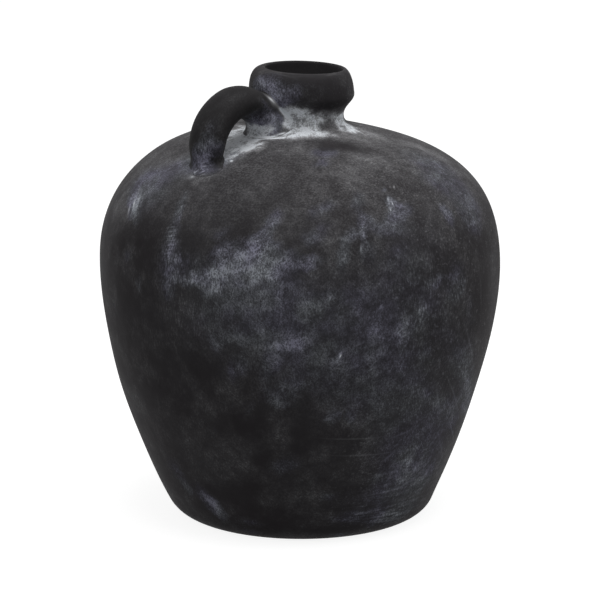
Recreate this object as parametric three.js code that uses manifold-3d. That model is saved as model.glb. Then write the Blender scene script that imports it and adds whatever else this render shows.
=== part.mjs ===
import * as THREE from 'three';
import Module from 'manifold-3d';
import { mergeVertices } from 'three/addons/utils/BufferGeometryUtils.js';

// Round-bellied jug of black fired clay with a short neck, a rolled collar and one loop handle.
// Millimetres, +Z up. The origin is on the jug's axis, on the face that it stands on.
// The handle is on the -X side. Radii and reaches are measured from the axis.

// Driving dimensions

// Belly, outside
const FOOT_RADIUS = 79;
const FOOT_ROUND = 21;
const FLANK_ANGLE = 27;
const FLANK_STRAIGHT = 42;
const FLANK_BULGE = 54;
const BELLY_RADIUS = 146;
const BELLY_HEIGHT = 185;
const SHOULDER_LIFT = 72;
const SHOULDER_REACH = 61;
const SHOULDER_SLOPE = 13.9;

// Neck and collar, outside
const SEAT_RADIUS = 45.2;
const SEAT_HEIGHT = 285.4;
const WAIST_RADIUS = 30.6;
const WAIST_RISE = 10.6;
const NECK_RISE = 16;
const COLLAR_RADIUS = 38;
const COLLAR_RISE = 26.2;
const LIP_RADIUS = 30.3;
const LIP_RISE = 18;

// Walls and the inside
const FLOOR_THICKNESS = 9;
const WALL = 7.5;
const FLOOR_FILLET = 8;
const NECK_WALL = 6.6;
const LIP_ROUND = 1.5;
const LIP_TUCK = 1.1;
const MOUTH_LEAN = 3.2;
const COLLAR_LEAN = 0.6;

// Handle: an oval strap from the neck over a crest and down a straight leg to the dome
const STRAP_REACH = 52;
const STRAP_WIDTH = 34.4;
const STRAP_THICKNESS = 20.6;
const CREST_REACH = 62;
const CREST_RISE = 26.8;
const ARCH_CREST_PULL = 7;
const ARCH_LEG_PULL = 18;
const LEG_REACH = 90;
const LEG_WIDTH = 29.6;
const LEG_THICKNESS = 22.2;

// Wads of clay at the two ends of the strap
const UPPER_ROOT_WIDTH = 31;
const UPPER_ROOT_REACH = 44.5;
const UPPER_ROOT_FLARE = 4.5;
const UPPER_FLARE_HEIGHT = 13.6;
const ROOT_SAG = 4.5;
const ROOT_RIDGE = 1.6;
const LOWER_ROOT_HEIGHT = 12;
const LOWER_ROOT_FLARE = 2;
const ROOT_DEPTH = 3;
const SLIP_GAP = 0.3;

// Fullness of the curves, each as a share of its own rise or width
const NECK_FOOT_PULL = 0.4;
const COLLAR_UNDER_PULL = 0.5;
const COLLAR_BULGE_PULL = 0.34;
const COLLAR_SIDE_PULL = 0.54;
const COLLAR_TOP_PULL = 0.42;
const MOUTH_FLARE_START = 0.4;
const MOUTH_FLARE_END = 0.7;
const ROUNDING = 0.55;
const COLUMN_TOP = 0.25;
const FLARE_POWER = 1.5;

// How finely round shapes are divided
const TURN_STEPS = 56;
const FOOT_STEPS = 6;
const FLANK_STEPS = 8;
const SHOULDER_STEPS = 10;
const NECK_STEPS = 4;
const COLLAR_STEPS = 6;
const LIP_STEPS = 7;
const MOUTH_STEPS = 4;
const EDGE_STEPS = 2;
const OVAL_STEPS = 24;
const ARCH_STEPS = 12;
const ROOT_STEPS = 9;

const radians = THREE.MathUtils.degToRad;
const lerp = THREE.MathUtils.lerp;
const point = (radius, height) => new THREE.Vector2(radius, height);

// Heights that follow from the driving dimensions
const waistHeight = SEAT_HEIGHT + WAIST_RISE;
const collarSeam = SEAT_HEIGHT + NECK_RISE;
const collarHeight = SEAT_HEIGHT + COLLAR_RISE;
const lipHeight = collarHeight + LIP_RISE;
const crestHeight = SEAT_HEIGHT + CREST_RISE;
const boreRadius = WAIST_RADIUS - NECK_WALL;
const mouthRadius = LIP_RADIUS - LIP_TUCK;

// Outlines, as radius against height

function bend(start, leave, arrive, end, steps) {
  return new THREE.CubicBezierCurve(start, leave, arrive, end).getPoints(steps);
}

function footArc() {
  const arc = [];
  for (let i = 0; i <= FOOT_STEPS; i += 1) {
    const angle = radians(lerp(-90, -FLANK_ANGLE, i / FOOT_STEPS));
    arc.push(point(FOOT_RADIUS + FOOT_ROUND * Math.cos(angle), FOOT_ROUND + FOOT_ROUND * Math.sin(angle)));
  }
  return arc;
}

// From the edge of the resting face up over the belly to the seat of the neck.
function bellyOutline() {
  const foot = footArc();
  const flankStart = foot[foot.length - 1];
  const lean = radians(FLANK_ANGLE);
  const flankLeave = point(
    flankStart.x + FLANK_STRAIGHT * Math.sin(lean),
    flankStart.y + FLANK_STRAIGHT * Math.cos(lean),
  );
  const belly = point(BELLY_RADIUS, BELLY_HEIGHT);
  const flankArrive = point(BELLY_RADIUS, BELLY_HEIGHT - FLANK_BULGE);
  const flank = bend(flankStart, flankLeave, flankArrive, belly, FLANK_STEPS);
  const slope = radians(SHOULDER_SLOPE);
  const seat = point(SEAT_RADIUS, SEAT_HEIGHT);
  const shoulderLeave = point(BELLY_RADIUS, BELLY_HEIGHT + SHOULDER_LIFT);
  const shoulderArrive = point(
    seat.x + SHOULDER_REACH * Math.cos(slope),
    seat.y - SHOULDER_REACH * Math.sin(slope),
  );
  const shoulder = bend(belly, shoulderLeave, shoulderArrive, seat, SHOULDER_STEPS);
  return [...foot, ...flank.slice(1), ...shoulder.slice(1)];
}

// From the seat of the neck through the waist and round the collar to the crest of the lip.
function neckOutline() {
  const slope = radians(SHOULDER_SLOPE);
  const sweep = SEAT_RADIUS - WAIST_RADIUS;
  const seat = point(SEAT_RADIUS, SEAT_HEIGHT);
  const seatLeave = point(seat.x - sweep * Math.cos(slope), seat.y + sweep * Math.sin(slope));
  const waist = point(WAIST_RADIUS, waistHeight);
  const underCollar = collarHeight - waistHeight;
  const bulge = point(COLLAR_RADIUS, collarHeight);
  const crest = point(LIP_RADIUS, lipHeight);
  const waistArrive = point(waist.x, waist.y - NECK_FOOT_PULL * WAIST_RISE);
  const foot = bend(seat, seatLeave, waistArrive, waist, NECK_STEPS);
  const under = bend(
    waist,
    point(waist.x, waist.y + COLLAR_UNDER_PULL * underCollar),
    point(bulge.x, bulge.y - COLLAR_BULGE_PULL * underCollar),
    bulge,
    COLLAR_STEPS,
  );
  const over = bend(
    bulge,
    point(bulge.x, bulge.y + COLLAR_SIDE_PULL * LIP_RISE),
    point(lerp(crest.x, bulge.x, COLLAR_TOP_PULL), crest.y),
    crest,
    LIP_STEPS,
  );
  return [...foot, ...under.slice(1), ...over.slice(1)];
}

// The same outline moved square to itself: inwards for a positive distance.
function offset(outline, distance) {
  return outline.map((here, i) => {
    const before = outline[Math.max(i - 1, 0)];
    const after = outline[Math.min(i + 1, outline.length - 1)];
    const along = after.clone().sub(before).normalize();
    return point(here.x - along.y * distance, here.y + along.x * distance);
  });
}

// Radius of a rising outline at a height.
function radiusAt(outline, height) {
  const i = outline.findIndex((p, k) => k > 0 && p.y >= height && outline[k - 1].y <= height);
  const share = (height - outline[i - 1].y) / (outline[i].y - outline[i - 1].y);
  return lerp(outline[i - 1].x, outline[i].x, share);
}

// The stretch of a rising outline between two heights.
function between(outline, low, high) {
  const inside = outline.filter((p) => p.y > low && p.y < high);
  return [point(radiusAt(outline, low), low), ...inside, point(radiusAt(outline, high), high)];
}

const outside = [...bellyOutline(), ...neckOutline().slice(1)];

// Height of the dome's surface at a reach from the axis.
function domeHeight(reach) {
  const dome = outside.filter((p) => p.y >= BELLY_HEIGHT && p.y <= SEAT_HEIGHT);
  const i = dome.findIndex((p, k) => k > 0 && p.x <= reach && dome[k - 1].x >= reach);
  const share = (reach - dome[i - 1].x) / (dome[i].x - dome[i - 1].x);
  return lerp(dome[i - 1].y, dome[i].y, share);
}

// The hollow: floor, fillet, wall, bore of the neck, flare of the collar and the tucked edge of the lip.
function insideOutline() {
  const wallLine = offset(bellyOutline(), WALL);
  const underSeat = wallLine[wallLine.length - 1];
  const filletTop = FLOOR_THICKNESS + FLOOR_FILLET;
  const wall = between(wallLine, filletTop, underSeat.y);
  const floorEdge = point(wall[0].x - FLOOR_FILLET, FLOOR_THICKNESS);
  const fillet = new THREE.QuadraticBezierCurve(
    floorEdge,
    point(lerp(floorEdge.x, wall[0].x, ROUNDING), lerp(FLOOR_THICKNESS, filletTop, 1 - ROUNDING)),
    wall[0],
  ).getPoints(EDGE_STEPS);
  const slope = radians(SHOULDER_SLOPE);
  const run = ROUNDING * (underSeat.x - boreRadius);
  const boreFoot = bend(
    underSeat,
    point(underSeat.x - run * Math.cos(slope), underSeat.y + run * Math.sin(slope)),
    point(boreRadius, lerp(SEAT_HEIGHT, underSeat.y, ROUNDING)),
    point(boreRadius, SEAT_HEIGHT),
    NECK_STEPS,
  );
  const edge = point(mouthRadius, lipHeight - LIP_ROUND);
  const flare = bend(
    point(boreRadius, waistHeight),
    point(boreRadius, lerp(waistHeight, edge.y, MOUTH_FLARE_START)),
    point(edge.x, lerp(waistHeight, edge.y, MOUTH_FLARE_END)),
    edge,
    MOUTH_STEPS,
  );
  const tuck = bend(
    edge,
    point(edge.x, edge.y + ROUNDING * LIP_ROUND),
    point(LIP_RADIUS - ROUNDING * LIP_TUCK, lipHeight),
    point(LIP_RADIUS, lipHeight),
    EDGE_STEPS,
  );
  return [...fillet, ...wall.slice(1), ...boreFoot.slice(1), ...flare, ...tuck.slice(1)];
}

const inside = insideOutline();
const legSeam = domeHeight(LEG_REACH) + LOWER_ROOT_HEIGHT;

// Geometry

function faceOutwards(geometry) {
  const position = geometry.attributes.position;
  const index = geometry.index.array;
  const corner = (i) => new THREE.Vector3().fromBufferAttribute(position, index[i]);
  let volume = 0;
  for (let i = 0; i < index.length; i += 3) {
    volume += corner(i).dot(corner(i + 1).cross(corner(i + 2)));
  }
  if (volume < 0) {
    index.reverse();
  }
  geometry.computeVertexNormals();
  return geometry;
}

function weld(geometry) {
  geometry.deleteAttribute('normal');
  geometry.deleteAttribute('uv');
  return faceOutwards(mergeVertices(geometry, 1e-4));
}

// An outline turned once round the jug's axis.
function turn(outline) {
  const geometry = new THREE.LatheGeometry(outline, TURN_STEPS);
  geometry.rotateX(Math.PI / 2);
  return geometry;
}

// One closed skin through a row of rings that have the same number of points.
function loft(rings) {
  const sides = rings[0].length;
  const triangles = [];
  for (let r = 0; r + 1 < rings.length; r += 1) {
    for (let s = 0; s < sides; s += 1) {
      const a = r * sides + s;
      const b = r * sides + ((s + 1) % sides);
      triangles.push(a, b, b + sides, a, b + sides, a + sides);
    }
  }
  const last = (rings.length - 1) * sides;
  for (let s = 1; s + 1 < sides; s += 1) {
    triangles.push(0, s + 1, s, last, last + s, last + s + 1);
  }
  const geometry = new THREE.BufferGeometry().setFromPoints(rings.flat());
  geometry.setIndex(triangles);
  return faceOutwards(geometry);
}

// A closed ring of corners round a centre. up and across are half its height and half its width as
// vectors, and power is 2 for an oval and less for a blunt ridge.
function ovalRing(centre, up, across, power = 2) {
  const corners = [];
  for (let i = 0; i < OVAL_STEPS; i += 1) {
    const angle = (2 * Math.PI * i) / OVAL_STEPS;
    const rise = Math.sign(Math.sin(angle)) * Math.abs(Math.sin(angle)) ** (2 / power);
    const spread = Math.sign(Math.cos(angle)) * Math.abs(Math.cos(angle)) ** (2 / power);
    corners.push(centre.clone().addScaledVector(up, rise).addScaledVector(across, spread));
  }
  return corners;
}

const wasm = await Module();
wasm.setup();

function solid(geometry) {
  return new wasm.Manifold(new wasm.Mesh({
    numProp: 3,
    vertProperties: new Float32Array(geometry.attributes.position.array),
    triVerts: new Uint32Array(geometry.index.array),
  }));
}

function skin(manifold) {
  const mesh = manifold.getMesh();
  const geometry = new THREE.BufferGeometry();
  geometry.setAttribute('position', new THREE.BufferAttribute(mesh.vertProperties, 3));
  geometry.setIndex(new THREE.BufferAttribute(mesh.triVerts, 1));
  return weld(geometry);
}

// Pieces of the pot

// A thrown ring: the clay between the outside and the hollow, from one seam up to the next.
function ringOutline(low, high) {
  const outer = between(outside, low, high);
  const inner = between(inside, low, high).reverse();
  return [...outer, ...inner, outer[0]];
}

function thrownRing(low, high) {
  return weld(turn(ringOutline(low, high)));
}

function baseSlab() {
  const edge = between(outside, 0, FLOOR_THICKNESS);
  return weld(turn([point(0, 0), ...edge, point(0, FLOOR_THICKNESS)]));
}

// The hand-made collar leans a little away from the handle. Its mouth leans more than its outside, which
// follows the mouth only where it turns in to the lip.
function collarRing() {
  const outline = ringOutline(collarSeam, lipHeight);
  const outerPoints = between(outside, collarSeam, lipHeight).length - 1;
  const leans = outline.map((p, step) => {
    const rise = (p.y - collarSeam) / (lipHeight - collarSeam);
    const onOutside = step < outerPoints || step === outline.length - 1;
    const turnedIn = p.y > collarHeight ? (COLLAR_RADIUS - p.x) / (COLLAR_RADIUS - LIP_RADIUS) : 0;
    const lean = onOutside ? lerp(COLLAR_LEAN, MOUTH_LEAN, turnedIn ** 2) : MOUTH_LEAN;
    return lean * rise ** 2;
  });
  const geometry = turn(outline);
  const position = geometry.attributes.position;
  for (let i = 0; i < position.count; i += 1) {
    position.setX(i, position.getX(i) + leans[i % outline.length]);
  }
  return weld(geometry);
}

// Pieces of the handle

// From the upper wad over the crest of the arch and straight down to the lower wad.
function handleStrap() {
  const arch = new THREE.CubicBezierCurve(
    point(CREST_REACH, crestHeight),
    point(CREST_REACH + ARCH_CREST_PULL, crestHeight),
    point(LEG_REACH, legSeam + ARCH_LEG_PULL),
    point(LEG_REACH, legSeam),
  );
  const section = (centre, along, share) => {
    const thick = lerp(STRAP_THICKNESS, LEG_THICKNESS, share) / 2;
    const wide = lerp(STRAP_WIDTH, LEG_WIDTH, share) / 2;
    const up = new THREE.Vector3(along.y * thick, 0, along.x * thick);
    return ovalRing(new THREE.Vector3(-centre.x, 0, centre.y), up, new THREE.Vector3(0, wide, 0));
  };
  const rings = [section(point(STRAP_REACH, crestHeight), point(1, 0), 0)];
  for (let i = 0; i <= ARCH_STEPS; i += 1) {
    const share = i / ARCH_STEPS;
    rings.push(section(arch.getPoint(share), arch.getTangent(share), share));
  }
  return loft(rings);
}

// The inner end of the strap: it sags towards the collar and comes to a blunt ridge against it.
function strapEnd() {
  const start = STRAP_REACH - SLIP_GAP;
  const rings = [];
  for (let i = 0; i <= ROOT_STEPS; i += 1) {
    const reach = lerp(start, boreRadius, i / ROOT_STEPS);
    const share = THREE.MathUtils.smoothstep(start - reach, 0, start - COLLAR_RADIUS);
    const top = crestHeight + STRAP_THICKNESS / 2 - ROOT_SAG * share;
    const middle = crestHeight - (STRAP_THICKNESS / 2) * share;
    const bottom = crestHeight - STRAP_THICKNESS / 2 - ROOT_SAG * share;
    const wide = lerp(STRAP_WIDTH, UPPER_ROOT_WIDTH, share) / 2;
    const ring = ovalRing(
      new THREE.Vector3(-reach, 0, middle),
      new THREE.Vector3(0, 0, 1),
      new THREE.Vector3(0, wide, 0),
      lerp(2, ROOT_RIDGE, share),
    );
    ring.forEach((corner) => {
      const rise = corner.z - middle;
      corner.z = middle + rise * (rise > 0 ? top - middle : middle - bottom);
    });
    rings.push(ring);
  }
  return loft(rings);
}

// A column of oval rings from below the dome's surface upwards, which flares out at its foot.
function flaredFoot(centreReach, halfLength, halfWidth, flare, flareTop, low, high) {
  const rings = [];
  for (let i = 0; i <= ROOT_STEPS; i += 1) {
    const height = lerp(low, high, i / ROOT_STEPS);
    const spread = flare * Math.max(0, (flareTop - height) / (flareTop - low)) ** FLARE_POWER;
    rings.push(ovalRing(
      new THREE.Vector3(-centreReach, 0, height),
      new THREE.Vector3(-halfLength - spread, 0, 0),
      new THREE.Vector3(0, halfWidth + spread, 0),
    ));
  }
  return loft(rings);
}

// The jug's outside grown by the slip gap: it cuts the seats of the two wads.
function seatCutter() {
  const grown = offset(outside, -SLIP_GAP);
  const bottom = point(0, grown[0].y);
  const top = point(0, grown[grown.length - 1].y);
  return solid(weld(turn([bottom, ...grown, top])));
}

const jugBody = seatCutter();

function upperHandleRoot() {
  const column = flaredFoot(
    WAIST_RADIUS,
    UPPER_ROOT_REACH - WAIST_RADIUS,
    UPPER_ROOT_WIDTH / 2,
    UPPER_ROOT_FLARE,
    SEAT_HEIGHT + UPPER_FLARE_HEIGHT,
    domeHeight(UPPER_ROOT_REACH + UPPER_ROOT_FLARE) - ROOT_DEPTH,
    crestHeight - COLUMN_TOP * STRAP_THICKNESS,
  );
  return skin(solid(strapEnd()).add(solid(column)).subtract(jugBody));
}

function lowerHandleRoot() {
  const outerEdge = LEG_REACH + LEG_THICKNESS / 2 + LOWER_ROOT_FLARE;
  const column = flaredFoot(
    LEG_REACH,
    LEG_THICKNESS / 2,
    LEG_WIDTH / 2,
    LOWER_ROOT_FLARE,
    legSeam,
    domeHeight(outerEdge) - ROOT_DEPTH,
    legSeam - SLIP_GAP,
  );
  return skin(solid(column).subtract(jugBody));
}

// Fired clay

const jugClay = { color: 0x2b2a2c, roughness: 0.72, metalness: 0 };
const handleClay = { color: 0x272628, roughness: 0.68, metalness: 0 };

const jug = new THREE.Group();

function addPiece(name, geometry, clay) {
  const piece = new THREE.Mesh(geometry, new THREE.MeshStandardMaterial(clay));
  piece.name = name;
  jug.add(piece);
}

addPiece('base_slab', baseSlab(), jugClay);
addPiece('lower_body', thrownRing(FLOOR_THICKNESS, BELLY_HEIGHT), jugClay);
addPiece('upper_body', thrownRing(BELLY_HEIGHT, SEAT_HEIGHT), jugClay);
addPiece('neck_ring', thrownRing(SEAT_HEIGHT, collarSeam), jugClay);
addPiece('collar_ring', collarRing(), jugClay);
addPiece('handle_strap', handleStrap(), handleClay);
addPiece('upper_handle_root', upperHandleRoot(), handleClay);
addPiece('lower_handle_root', lowerHandleRoot(), handleClay);

export default jug;
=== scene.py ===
import math

import bmesh
import bpy
from mathutils import Matrix, Vector, noise
from mathutils.bvhtree import BVHTree
from mathutils.geometry import interpolate_bezier


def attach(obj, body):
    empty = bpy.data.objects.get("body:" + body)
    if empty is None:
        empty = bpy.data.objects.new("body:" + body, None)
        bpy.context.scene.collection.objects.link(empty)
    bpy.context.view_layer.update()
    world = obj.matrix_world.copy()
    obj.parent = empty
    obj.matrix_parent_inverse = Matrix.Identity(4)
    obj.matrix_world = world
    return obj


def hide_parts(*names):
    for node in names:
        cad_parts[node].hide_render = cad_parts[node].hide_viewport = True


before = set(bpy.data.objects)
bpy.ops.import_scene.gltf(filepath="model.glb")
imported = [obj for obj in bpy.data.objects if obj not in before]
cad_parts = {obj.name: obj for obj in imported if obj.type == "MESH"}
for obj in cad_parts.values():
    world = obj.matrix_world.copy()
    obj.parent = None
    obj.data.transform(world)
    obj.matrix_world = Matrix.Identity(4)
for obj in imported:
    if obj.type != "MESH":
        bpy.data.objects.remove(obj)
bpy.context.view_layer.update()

MM = 0.001


def add_object(name, data):
    """A new object in the scene."""
    thing = bpy.data.objects.new(name, data)
    bpy.context.scene.collection.objects.link(thing)
    return thing


def mesh_of(bm, name):
    """The mesh of a bmesh, which is freed."""
    mesh = bpy.data.meshes.new(name)
    bm.to_mesh(mesh)
    bm.free()
    return mesh


# Studio: a white table in a white room, a broad soft lamp overhead and a weak one at the right
FRAME_PIXELS = 600
SENSOR = 36
LENS = 193.8

# the camera looks at the belly from a little above, on the side that shows the handle at the left
AIM = Vector((0.35, 0.33, 157.1)) * MM
CAMERA_DISTANCE = 2.368
CAMERA_TURN = math.radians(-43)
CAMERA_RISE = math.radians(13.4)

toward_camera = Vector((
    math.sin(CAMERA_TURN) * math.cos(CAMERA_RISE),
    -math.cos(CAMERA_TURN) * math.cos(CAMERA_RISE),
    math.sin(CAMERA_RISE),
))
frame_right = Vector((math.cos(CAMERA_TURN), math.sin(CAMERA_TURN), 0))
frame_up = toward_camera.cross(frame_right)

camera = add_object("studio_camera", bpy.data.cameras.new("studio_camera"))
bpy.context.scene.camera = camera
camera.data.sensor_width = SENSOR
camera.data.lens = LENS
camera.location = AIM + toward_camera * CAMERA_DISTANCE
camera.rotation_euler = Matrix((frame_right, frame_up, toward_camera)).transposed().to_euler()


def area_lamp(name, place, size, power):
    """A round soft lamp, that many metres wide, turned towards the jug."""
    lamp = add_object(name, bpy.data.lights.new(name, "AREA"))
    lamp.data.shape = "DISK"
    lamp.data.size = size
    lamp.data.energy = power
    lamp.location = place
    lamp.rotation_euler = (Vector(place) - AIM).to_track_quat("Z", "Y").to_euler()


area_lamp("overhead_softbox", place=(-0.05, -0.35, 2.3), size=1.7, power=30)
area_lamp("right_softbox", place=(1.7, -1.6, 1.3), size=1.0, power=5)


class Wire:
    """A value in a node tree. Operators and math() add Math nodes, vector() adds Vector Math nodes, and
    add() adds any node, from its type, its settings and the values or links of its sockets."""

    def __init__(self, tree, socket=None):
        self.tree = tree
        self.socket = socket

    def add(self, kind, settings, inputs, output=0):
        node = self.tree.nodes.new(kind)
        for name, setting in settings.items():
            setattr(node, name, setting)
        for key, value in inputs.items():
            if isinstance(value, Wire):
                self.tree.links.new(value.socket, node.inputs[key])
            else:
                node.inputs[key].default_value = value
        return Wire(self.tree, node.outputs[output] if node.outputs else None)

    def math(self, operation, *values):
        return self.add("ShaderNodeMath", {"operation": operation}, dict(enumerate(values)))

    def vector(self, operation, *values, output="Vector"):
        return self.add("ShaderNodeVectorMath", {"operation": operation}, dict(enumerate(values)), output)

    def __add__(self, other):
        return self.math("ADD", self, other)

    def __radd__(self, other):
        return self.math("ADD", other, self)

    def __sub__(self, other):
        return self.math("SUBTRACT", self, other)

    def __rsub__(self, other):
        return self.math("SUBTRACT", other, self)

    def __mul__(self, other):
        return self.math("MULTIPLY", self, other)

    def __rmul__(self, other):
        return self.math("MULTIPLY", other, self)


def bare_tree(owner):
    """The start of an empty node tree, in a material or a world."""
    owner.use_nodes = True
    owner.node_tree.nodes.clear()
    return Wire(owner.node_tree)


def shown(start):
    """1 where a surface is looked at, straight, in a gloss or through glass, and 0 where it only gives
    light."""
    straight = start.add("ShaderNodeLightPath", {}, {}, "Is Camera Ray")
    mirrored = start.add("ShaderNodeLightPath", {}, {}, "Is Glossy Ray")
    passed = start.add("ShaderNodeLightPath", {}, {}, "Is Transmission Ray")
    return straight.math("MINIMUM", straight + mirrored + passed, 1.0)


WHITE = (1, 1, 1, 1)
ROOM_LIGHT = 0.36
ROOM_WHITE = 1.0

room = bpy.data.worlds.new("white_room")
bpy.context.scene.world = room
room_start = bare_tree(room)
room_shine = room_start.add("ShaderNodeBackground", {}, {
    "Color": WHITE,
    "Strength": ROOM_LIGHT + shown(room_start) * (ROOM_WHITE - ROOM_LIGHT),
})
room_start.add("ShaderNodeOutputWorld", {}, {"Surface": room_shine})

TABLE_RADIUS = 6.0
TABLE_CORNERS = 96
TABLE_TONE = (0.36, 0.36, 0.36, 1)
TABLE_LIFT = 0.88

disc = bmesh.new()
bmesh.ops.create_circle(disc, cap_ends=True, radius=TABLE_RADIUS, segments=TABLE_CORNERS)
table = add_object("table", mesh_of(disc, "table"))
table_top = bpy.data.materials.new("white_table_top")
table_start = bare_tree(table_top)
table_matt = table_start.add("ShaderNodeBsdfDiffuse", {}, {"Color": TABLE_TONE})
table_glow = table_start.add("ShaderNodeEmission", {}, {
    "Color": WHITE,
    "Strength": shown(table_start) * TABLE_LIFT,
})
table_sum = table_start.add("ShaderNodeAddShader", {}, {0: table_matt, 1: table_glow})
table_start.add("ShaderNodeOutputMaterial", {}, {"Surface": table_sum})
table.data.materials.append(table_top)

bpy.context.scene.view_settings.view_transform = "Standard"


# Outline: the outside of the pot from the foot to the lip, as it was drawn up on the wheel
def curve(corners, steps):
    """Points on the Bezier curve with these four corners, each a (radius, height) in millimetres."""
    start, leave, arrive, end = [Vector((radius, 0, height)) * MM for radius, height in corners]
    return interpolate_bezier(start, leave, arrive, end, steps)


def arc(centre, radius, start, end, steps):
    """Points on an arc about a (radius, height) in millimetres, from one angle to another in degrees."""
    turns = [math.radians(start + (end - start) * i / (steps - 1)) for i in range(steps)]
    return [
        Vector((centre[0] + radius * math.cos(a), 0, centre[1] + radius * math.sin(a))) * MM
        for a in turns
    ]


def direction(line, i):
    """The way a line runs at one of its points."""
    return (line[min(i + 1, len(line) - 1)] - line[max(i - 1, 0)]).normalized()


# the outline goes through these places, as (radius, height) in millimetres
FOOT_REACH = 79
FOOT_ROUND = 21
FOOT_END = (97.71, 11.47)
BELLY = (146, 185)
SEAT = (45.2, 285.4)
WAIST = (30.6, 296)
BULGE = (38, 311.6)
LIP = (29.4, 329.6)

BASE_SEAM = 9 * MM
BELLY_SEAM = BELLY[1] * MM
NECK_SEAM = SEAT[1] * MM
COLLAR_SEAM = 301.4 * MM
RIM_HEIGHT = LIP[1] * MM

foot = arc((FOOT_REACH, FOOT_ROUND), FOOT_ROUND, -90, -27, 16)
flank = curve([FOOT_END, (116.8, 48.9), (BELLY[0], 131), BELLY], 48)
shoulder = curve([BELLY, (BELLY[0], 257), (104.4, 270.7), SEAT], 48)
neck_foot = curve([SEAT, (31.0, 288.9), (WAIST[0], 291.8), WAIST], 14)
under_collar = curve([WAIST, (WAIST[0], 303.8), (BULGE[0], 306.3), BULGE], 18)
over_collar = curve([BULGE, (BULGE[0], 321.8), (35.4, LIP[1]), LIP], 18)
outside = foot + flank[1:] + shoulder[1:] + neck_foot[1:] + under_collar[1:] + over_collar[1:]

NEAR = 1e-7


def stretch(outline, low, high):
    """The part of a rising outline between two heights, with a point exactly at each."""
    cut = [outline[0].copy()] if outline[0].z == low else []
    for before, after in zip(outline, outline[1:]):
        for height in (low, high):
            if before.z < height <= after.z:
                cut.append(before.lerp(after, (height - before.z) / (after.z - before.z)))
    inner = [p for p in outline if low + NEAR < p.z < high - NEAR]
    return sorted(inner + cut, key=lambda p: p.z)


# Hand work: where the potter's hands left the pot fuller, thinner, leaning or off its axis

# what comes in over a stretch of the height or of the distance from the axis
SWELL = 3.7 * MM
SWELL_TURN = math.radians(122)
SWELL_WIDTH = math.radians(76)
SWELL_REACH = (38 * MM, 64 * MM, 100 * MM, 148 * MM)
SWELL_RISE = (185 * MM, 215 * MM)
LEAN = 1.0 * MM
LEAN_RISE = (277 * MM, 293 * MM)
LEAN_EASE = 0.45
MOUTH_TILT = 0.033
MOUTH_DROP = 0.25 * MM
MOUTH_RISE = (306 * MM, 329 * MM)
MOUTH_REACH = (40 * MM, 50 * MM)
WOBBLE = 0.35 * MM
WOBBLE_RISE = (5 * MM, 30 * MM)
WOBBLE_SCALE = 9

# what is done in one band of the pot, as (height, spread, amount)
COLLAR_FULLNESS = (305 * MM, 6 * MM, 1.0 * MM)
FLANK_FULLNESS = (95 * MM, 40 * MM, 0.5 * MM)
FOOT_FULLNESS = (3 * MM, 12 * MM, 1.2 * MM)
LEFT_FOOT_TRIM = 0.35
LEFT_BELLY = (208 * MM, 20 * MM, 0.55 * MM)
SHOULDER_TRIM = (259 * MM, 18 * MM, -0.45 * MM)
FLANK_SHIFT = (98 * MM, 32 * MM, -0.85 * MM)
FOOT_SHIFT = (15 * MM, 28 * MM, 0.1 * MM)

ON_AXIS = 1e-6
camera_left = -frame_right
camera_front = Vector((toward_camera.x, toward_camera.y, 0)).normalized()


def ramp(value, start, end):
    """0 up to start, 1 from end on and smooth between them."""
    share = min(max((value - start) / (end - start), 0), 1)
    return share * share * (3 - 2 * share)


def span(value, start, full, last, end):
    """0 up to start and from end on, 1 from full to last and smooth between."""
    return ramp(value, start, full) * (1 - ramp(value, last, end))


def hump(value, middle, width):
    return math.exp(-((value - middle) / width) ** 2)


def band(height, hand_work):
    middle, spread, amount = hand_work
    return amount * hump(height, middle, spread)


def shape_by_hand(bm):
    """The unevenness of hand work: a fuller shoulder at the back, a leaning neck, a tilted mouth, and
    bands of the pot that are a little fuller, thinner or off the axis."""
    for vert in bm.verts:
        co = vert.co
        reach = math.hypot(co.x, co.y)
        if reach < ON_AXIS:
            continue
        radial = Vector((co.x, co.y, 0)) / reach
        left = radial.dot(camera_left)
        turn = math.atan2(left, radial.dot(camera_front))
        away = abs((turn - SWELL_TURN + math.pi) % (2 * math.pi) - math.pi)
        swell = ramp(1 - away / SWELL_WIDTH, 0, 1) * span(reach, *SWELL_REACH) * ramp(co.z, *SWELL_RISE)
        mouth = ramp(co.z, *MOUTH_RISE) * (1 - ramp(reach, *MOUTH_REACH))
        fuller = band(co.z, COLLAR_FULLNESS) * max(0, -left) ** 2
        fuller += band(co.z, FLANK_FULLNESS)
        fuller += band(co.z, FOOT_FULLNESS) * (-left if left < 0 else -LEFT_FOOT_TRIM * left)
        fuller += band(co.z, LEFT_BELLY) * max(0, left)
        fuller += band(co.z, SHOULDER_TRIM)
        fuller += noise.noise(co * WOBBLE_SCALE) * WOBBLE * ramp(co.z, *WOBBLE_RISE)
        aside = LEAN * ramp(co.z, *LEAN_RISE) * (1 - LEAN_EASE * mouth)
        aside += band(co.z, FLANK_SHIFT)
        aside += band(co.z, FOOT_SHIFT)
        vert.co += radial * fuller + frame_right * aside
        vert.co.z += swell * SWELL + (MOUTH_TILT * reach * left - MOUTH_DROP) * mouth


# Pieces: each is thrown or cut, shaped by hand and put in the place of its solid
INWARD_SHARE = -0.45
SHARP_CORNER = math.radians(50)


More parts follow.
